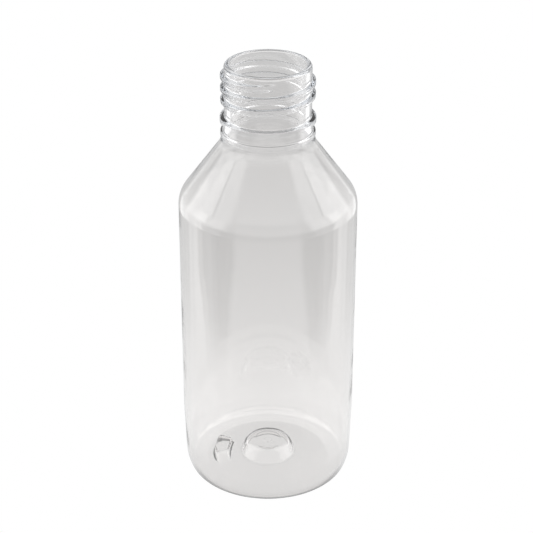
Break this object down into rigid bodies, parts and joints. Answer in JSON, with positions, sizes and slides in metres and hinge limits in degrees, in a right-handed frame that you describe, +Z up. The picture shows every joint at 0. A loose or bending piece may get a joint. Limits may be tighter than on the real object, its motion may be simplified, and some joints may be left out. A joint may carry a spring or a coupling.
{
  "type": "plastic bottle with screw neck",
  "caption": "Clear blown plastic bottle: round body, conical shoulder, narrow screw neck with a bead and a band, heel rounded into a hollow standing base.",
  "frame": {"origin": "centre of the standing ring, on the surface the bottle stands on", "axes": "+Z up along the bottle's axis to the mouth; -Y is the front, where the thread starts; -X is the side of the lug in the base"},
  "size_m": [0.046, 0.046, 0.116],
  "materials": {
    "clear_pet": "clear glossy PET"
  },
  "bodies": {
    "root": {"bottle": "clear_pet"}
  },
  "joints": []
}
